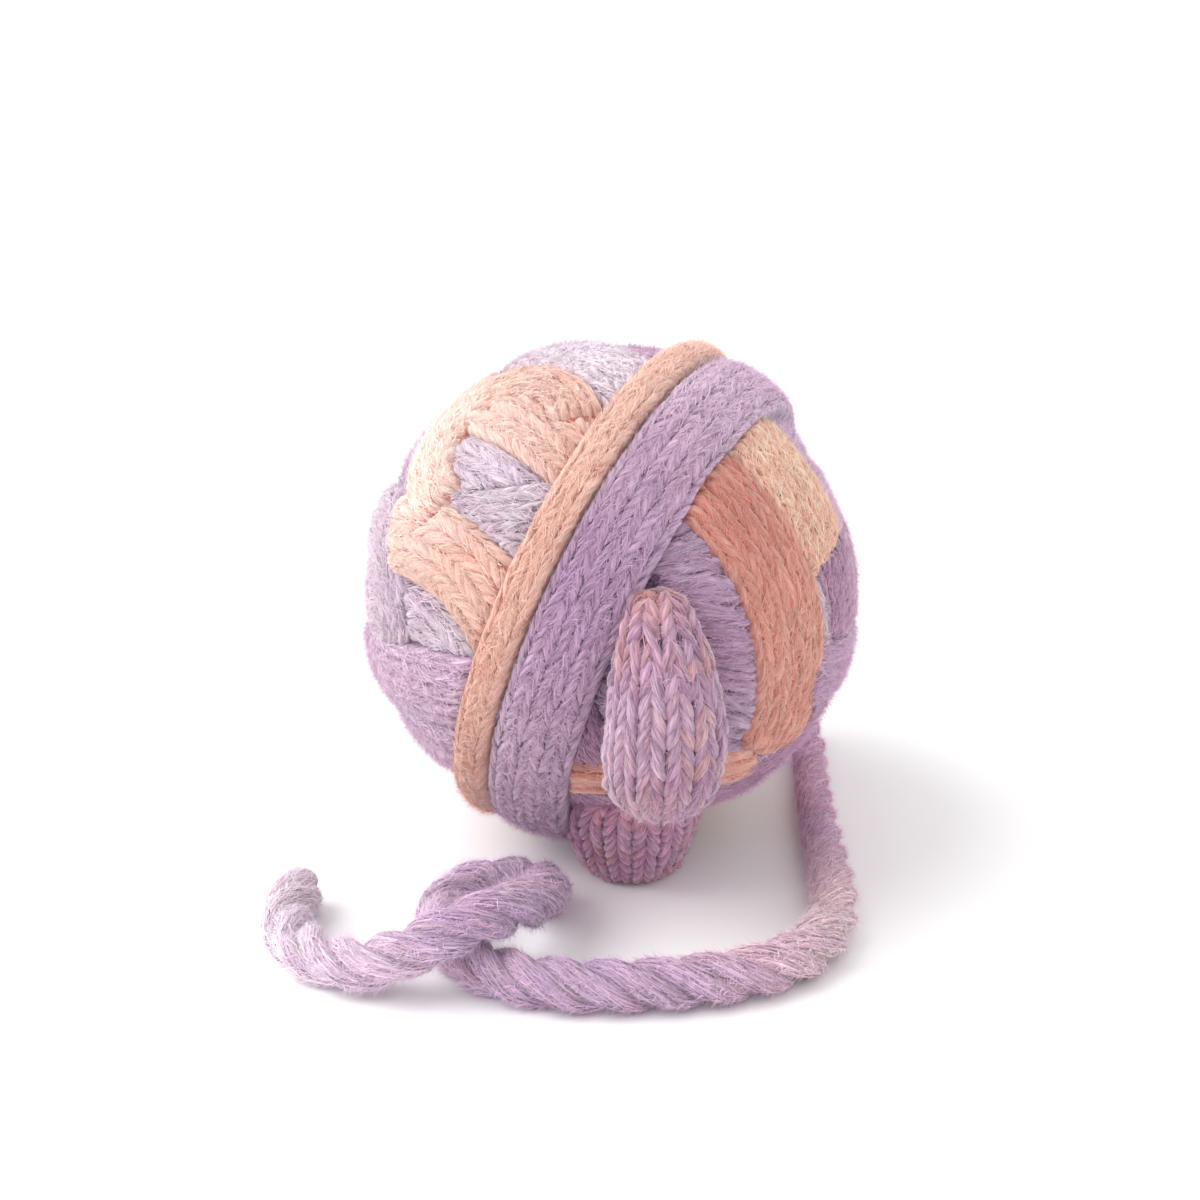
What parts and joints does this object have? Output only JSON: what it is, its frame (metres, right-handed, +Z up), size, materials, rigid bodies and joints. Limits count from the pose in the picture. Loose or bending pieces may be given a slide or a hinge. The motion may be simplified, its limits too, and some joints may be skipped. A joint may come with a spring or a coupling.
{
  "type": "wound yarn ball toy with knitted limbs and a rope tail",
  "caption": "Soft ball wound in wide knitted lavender and peach bands, standing on knitted feet, with stub arms and a twisted rope tail lying on the floor.",
  "frame": {"origin": "on the floor under the middle of the ball, arms and feet, without the rope", "axes": "+Z up; the arms and feet stand out along -Y and +Y; the rope leaves the lower back at +X and +Y"},
  "size_m": [0.1395, 0.1648, 0.1252],
  "materials": {
    "lavender_yarn": "fuzzy matt wool",
    "peach_yarn": "fuzzy matt wool",
    "variegated_yarn": "fuzzy matt wool"
  },
  "bodies": {
    "root": {"ball": "lavender_yarn", "arm_left": "variegated_yarn", "arm_right": "variegated_yarn", "foot_left": "variegated_yarn", "foot_right": "variegated_yarn", "tail_rope": "variegated_yarn"}
  },
  "joints": []
}
